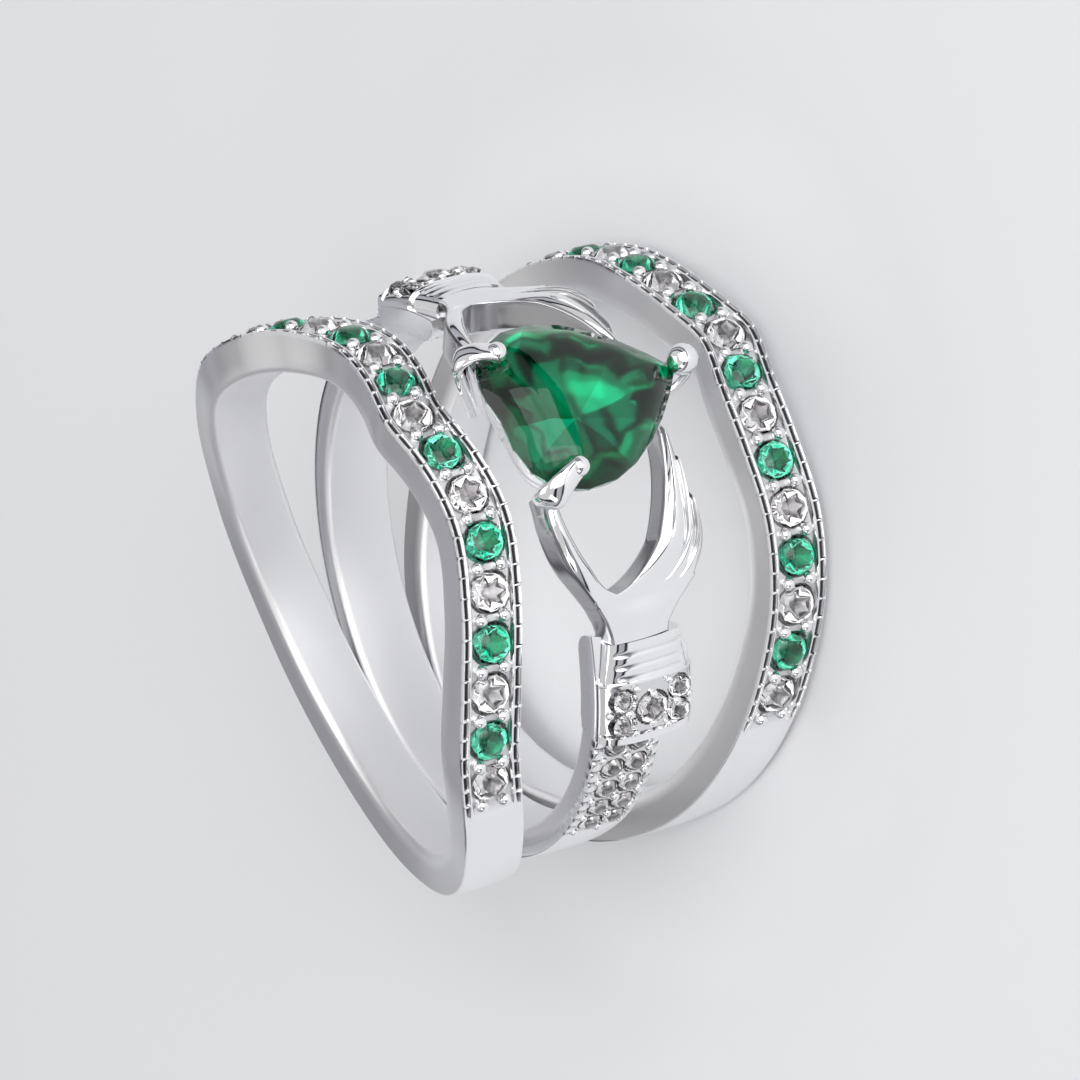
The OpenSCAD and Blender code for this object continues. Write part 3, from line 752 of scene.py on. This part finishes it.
# The heart. A heart-cut green stone with a large table, a stepped crown and a faceted pavilion,
# held in a flared collet by three claws: one at each lobe and one at the tip.
heart_w, heart_l, heart_shift = 6.2, 7.0, 0.3
girdle_r, girdle_t, crown_h, pavilion_h = 12.4, 0.14, 0.8, 2.2
heart_spin = 3.0
heart_size = np.array([heart_w / 2, heart_l / 2])
# Half of the heart in shares of its half width and length: cleft to side, then side to tip.
lobe_curve = np.array([[0, 0.93], [0.30, 1.00], [0.98, 1.00], [1, 0.40]])
flank_curve = np.array([[1, 0.40], [1.06, -0.02], [0.66, -0.56], [0, -1]])


def bezier(points, t):
    """Cubic curve through four given points: the sum of each by its Bernstein share."""
    t = np.asarray(t)[:, None]
    return (points[0] * (1 - t) ** 3 + points[1] * 3 * t * (1 - t) ** 2
            + points[2] * 3 * t ** 2 * (1 - t) + points[3] * t ** 3)


def heart_outline(count):
    """The heart in mm at even steps: down its mirrored half to the tip, then up to the cleft again."""
    t = np.linspace(0, 1, 200)
    half = np.concatenate([bezier(lobe_curve, t), bezier(flank_curve, t)[1:]])
    walk = np.concatenate([[0], np.cumsum(np.hypot(*np.diff(half, axis=0).T))])
    even = np.linspace(0, walk[-1], count // 2 + 1)
    half = np.column_stack([np.interp(even, walk, half[:, i]) for i in (0, 1)])
    return np.concatenate([half, half[-2:0:-1] * (-1, 1)])[::-1] * heart_size


def on_head(points):
    """Puts a shape on the head, its middle on the girdle's plane, turned as the heart is."""
    return set_down(points, head_turn, girdle_r, heart_shift, spin=heart_spin)


# The front facets are clear green. The back ones mirror light forward, each with a painted brightness from
# dark green to white that stands in for the light it returns.
heart_gem, heart_tree, heart_front = new_material(
    "heart_green", Base_Color=(0.002, 0.45, 0.21, 1), Roughness=0.0, Transmission_Weight=1.0, IOR=1.5,
    Specular_IOR_Level=0.4)
back_green = mix_colours(heart_tree, mark_on(heart_tree, "tint"), (0.12, 0.34, 0.24), (1.0, 1.0, 1.0))
heart_back = Socket.node(heart_tree, "ShaderNodeBsdfPrincipled", Base_Color=back_green, Roughness=0.16,
                         Metallic=1.0)[0]
front_and_back = Socket.node(heart_tree, "ShaderNodeMixShader", in0=mark_on(heart_tree, "back_facet"),
                             in1=Socket(heart_tree, heart_front.outputs["BSDF"]), in2=heart_back)[0]
fill_sockets(heart_tree, heart_tree.nodes["Material Output"], Surface=front_and_back)

heart, heart_faces = cut_stone(heart_outline(count=20), table_share=0.6, crown=crown_h, girdle=girdle_t,
                               pavilion=pavilion_h, main_share=0.68)
make_piece("heart_cut_stone", [(on_head(heart), heart_faces)], heart_gem, "heart_green", ("heart_stone",),
           smooth=None, tint=facet_glints(heart_faces, 7),
           back_facet=(heart[:, 2] < -0.5 * girdle_t).astype(float))

# The collet. A flared silver wall in the heart's outline that carries the stone below its girdle.
# It is cast in one with the claws, open at the bottom, and its rim is thinner than its foot.
collet_top, collet_base = -0.1, -2.6
# Its section, outside and then inside: share of the heart's outline, and height over the girdle.
collet_steps = ((0.6, collet_base), (0.63, collet_base), (0.7, -2.2), (0.84, -1.4), (0.97, -0.4),
                (1.0, collet_top), (0.97, collet_top), (0.86, -0.62), (0.66, -1.4), (0.53, -2.2),
                (0.49, collet_base))
fine_outline = heart_outline(count=96)
collet_rings = np.stack([np.pad(fine_outline * share, ((0, 0), (0, 1)), constant_values=z)
                         for share, z in collet_steps])
collet, collet_faces = skin(collet_rings, wrap=True)
make_piece("collet", [(on_head(collet), collet_faces)], silver, "silver", ("ring",))

# The claws. Each is a tapering strap of silver that climbs the collet, passes the girdle and is
# pushed over the crown, where it ends in a round tip. A path's rows hold shares of the heart's
# half width and half length, and the height over the girdle.
left_claw = np.array([[-0.62, 0.5, -2.5], [-0.8, 0.68, -1.4], [-0.92, 0.84, -0.5], [-0.97, 0.89, 0.1],
                      [-0.92, 0.78, 0.55], [-0.82, 0.58, 0.78]])
right_claw = np.array([[0.64, 0.66, -2.7], [0.74, 0.8, -1.6], [0.82, 0.94, -0.5], [0.84, 0.99, 0.0],
                       [0.80, 0.88, 0.45], [0.70, 0.72, 0.62]])
tip_claw = np.array([[0, -0.55, -2.3], [0, -0.8, -1.4], [0, -1.0, -0.6], [0, -1.08, 0.0], [0, -1.07, 0.32],
                     [0, -1.03, 0.5]])
claw_half = np.array([0.4, 0.5, 0.52, 0.48, 0.42, 0.36])
claw_thick = np.array([0.26, 0.26, 0.24, 0.22, 0.2, 0.2])


def claw(path, tip_r):
    """Strap along a smooth path: its section is a flattened round, thin in the direction out of the stone
    and wide square to that and to the path. A ball closes its tip."""
    knots = np.arange(len(path), dtype=float)
    s = np.linspace(0, knots[-1], 51)
    path = path * (*heart_size, 1)
    line = np.column_stack([through(knots, path[:, i], s) for i in range(3)])
    half, thick = (through(knots, size, s)[:, None, None] for size in (claw_half, claw_thick))
    ahead = unit(np.gradient(line, axis=0))
    wide = unit(np.cross(ahead, line * (1, 1, 0) + (0, 0, 1.2)))
    face = np.cross(wide, ahead)
    t = np.radians(np.arange(28) * 360 / 28)[:, None]
    flat = np.sign(np.cos(t)) * np.abs(np.cos(t)) ** 0.8
    strap, strap_faces = skin(line[:, None] + wide[:, None] * half * flat + face[:, None] * thick * np.sin(t))
    tip, tip_faces = ball(tip_r, rings=9, sides=18)
    return [(on_head(strap), strap_faces), (on_head(tip + line[-1]), tip_faces)]


claws = claw(tip_claw, tip_r=0.54) + claw(left_claw, tip_r=0.36) + claw(right_claw, tip_r=0.36)
make_piece("claws", claws, silver, "silver", ("ring",))

# The hands. Two cast silver hands reach round the heart from the plain cuffs. Each has a broad
# palm, a thumb along the upper side and fingers, parted by fine lines, along the lower side.
hand_from, hand_to = 40.0, 6.0
hand_foot_r, hand_top_r = hole_r + 1.3, 11.3
hand_thick, hand_edge, strand_steps = 1.15, 0.09, 70
palm_dome, finger_dome = 0.14, 0.16
groove_deep, groove_wide, groove_start = 0.1, 0.05, 0.08
thumb_reach, finger_reach = 3.2, 2.75
crotch_share, crotch_along, thumb_spread, finger_spread = 0.25, 1.2, 2.0, 4.5
# Painted shade: how dark the hands' colour is painted on the round edges and on the flanks, as darker
# reflections.
edge_shade, thumb_edge_shade, lower_edge_shade, flank_shade = 0.35, 0.9, 0.6, 0.55
# Rows: share of the way from cuff to heart, upper and lower edge as shares of the reach, and rise.
palm_rows = np.array([[-0.02, 0.34, -0.4, 0], [0.03, 0.36, -0.41, 0.06], [0.12, 0.42, -0.54, 0.16],
                      [0.2, 0.50, -0.7, 0.26], [0.25, 0.55, -0.79, 0.34]])
thumb_rows = np.array([[0.1, 0.40, 0.05, 0.1], [0.2, 0.50, 0.1, 0.26], [0.3, 0.63, 0.40, 0.42],
                       [0.42, 0.79, 0.56, 0.62], [0.52, 0.88, 0.67, 0.76], [0.66, 0.94, 0.77, 0.92],
                       [0.82, 0.93, 0.80, 1]])
finger_rows = np.array([[0.1, 0.1, -0.50, 0.1], [0.2, 0.1, -0.7, 0.26], [0.3, -0.05, -0.84, 0.42],
                        [0.36, -0.2, -0.91, 0.52], [0.45, -0.31, -0.95, 0.66], [0.6, -0.45, -0.93, 0.84],
                        [0.75, -0.57, -0.90, 0.96], [0.89, -0.66, -0.88, 1], [1.0, -0.7, -0.87, 1]])


def bar_run(across, height, edge_across, edge_height, dome=0.0):
    """Points of a bar's outline: place across, place in height, the two parts of its round edge, dome."""
    columns = (np.asarray(values, float) for values in (across, height, edge_across, edge_height, dome))
    return np.stack(np.broadcast_arrays(*columns), -1)


def bar_edge(across, height, start):
    """A quarter round at a corner of the bar, without its ends: the cosine and sine from a start angle."""
    t = np.radians(np.linspace(start, start + 90, 5))[1:-1]
    return bar_run(across, height, np.cos(t), np.sin(t))


top = np.linspace(1, -1, 33)
level = np.linspace(1, -1, 6)
bar = np.concatenate([
    bar_run(top, 1, 0, 1, 1 - top ** 2), bar_edge(-1, 1, 90), bar_run(-1, level, -1, 0),
    bar_edge(-1, -1, 180), bar_run(level[::-1], -1, 0, -1), bar_edge(1, -1, 270),
    bar_run(1, level[::-1], 1, 0), bar_edge(1, 1, 0)])


def strand(rows, side, reaches, part=(0, 1), end=None, drop=0.0, fork=0, tip=0.0, lines=(), shade=edge_shade):
    """A palm, thumb or finger: at each share of the way a bar whose edges and height follow smooth
    curves, or a part of the width between them. A forked strand leaves the crotch like a parabola,
    and over the tip's length the bar shrinks like an ellipse. Each line is a fine groove on top, painted
    darker as shade, and the round edges and flanks are painted darker as reflections."""
    share = np.linspace(rows[0, 0], end or rows[-1, 0], strand_steps)
    upper, lower, rise = (through(rows[:, 0], rows[:, i], share) for i in (1, 2, 3))
    upper, lower = upper * reaches[0], lower * reaches[1]
    past_crotch = np.sqrt(np.clip(share - crotch_share, 0, None))
    if fork > 0:
        lower = np.minimum(lower, crotch_along + thumb_spread * past_crotch)
    elif fork < 0:
        upper = np.maximum(upper, crotch_along - finger_spread * past_crotch)
    upper, lower = (upper + (lower - upper) * place for place in part)
    angle = side * (hand_from + share * (hand_to - hand_from)) + head_turn
    radius = hand_foot_r + (hand_top_r - hand_foot_r) * rise - drop * ramp(0.2, 0.5, share)
    swell = finger_dome * ramp(0.15, 0.5, share) if fork else palm_dome * (1 - ramp(0.1, 0.24, share))
    left = np.clip((share[-1] - share) / tip, 0, 1) if tip else np.ones(len(share))
    shrink = np.sqrt(np.clip(1 - (1 - left) ** 2, 0.02, 1))[:, None]
    u, v, edge_u, edge_v, dome = bar.T[:, None, :]
    half = np.maximum((upper - lower) / 2 - hand_edge, 0.02)[:, None] * shrink
    groove = np.zeros((len(share), len(bar)))
    for place, start in lines:
        across_groove = np.exp(-((u - place) / groove_wide) ** 2) * (dome > 0)
        groove += across_groove * ramp(start, start + groove_start, share[:, None])
    height = ((hand_thick / 2 - hand_edge) * v + hand_edge * edge_v + swell[:, None] * dome) * shrink
    across = ((upper + lower) / 2)[:, None] + half * u + hand_edge * edge_u * shrink
    rings = on_ring(angle[:, None], radius[:, None] + height - groove_deep * groove, across)
    # Painted shade: darker reflections painted on the round edges and flanks, and shade in the grooves.
    on_edge = (edge_v > 0.05) & (np.abs(edge_u) > 0.2)
    on_flank = (np.abs(edge_u) == 1) & (np.abs(edge_v) < 0.01)
    dark = np.where(on_edge, np.where(edge_u > 0, shade, lower_edge_shade), flank_shade * on_flank)
    return skin(rings), np.maximum(groove, dark).ravel()


for side, name in ((1, "near_hand"), (-1, "far_hand")):
    both, fingers = (thumb_reach, finger_reach), (finger_reach, finger_reach)
    made = [strand(palm_rows, side, both),
            strand(thumb_rows, side, (thumb_reach, thumb_reach), fork=1, shade=thumb_edge_shade),
            strand(finger_rows, side, fingers, part=(0, 0.64), fork=-1, tip=0.06, lines=((0.3, 0.45),)),
            strand(finger_rows, side, fingers, part=(0.58, 0.83), end=0.84, drop=0.06, fork=-1, tip=0.05),
            strand(finger_rows, side, fingers, part=(0.79, 1.0), end=0.66, drop=0.12, fork=-1, tip=0.08)]
    make_piece(name, [part for part, _ in made], silver, "silver", ("ring",),
               recess=np.concatenate([dark for _, dark in made]))
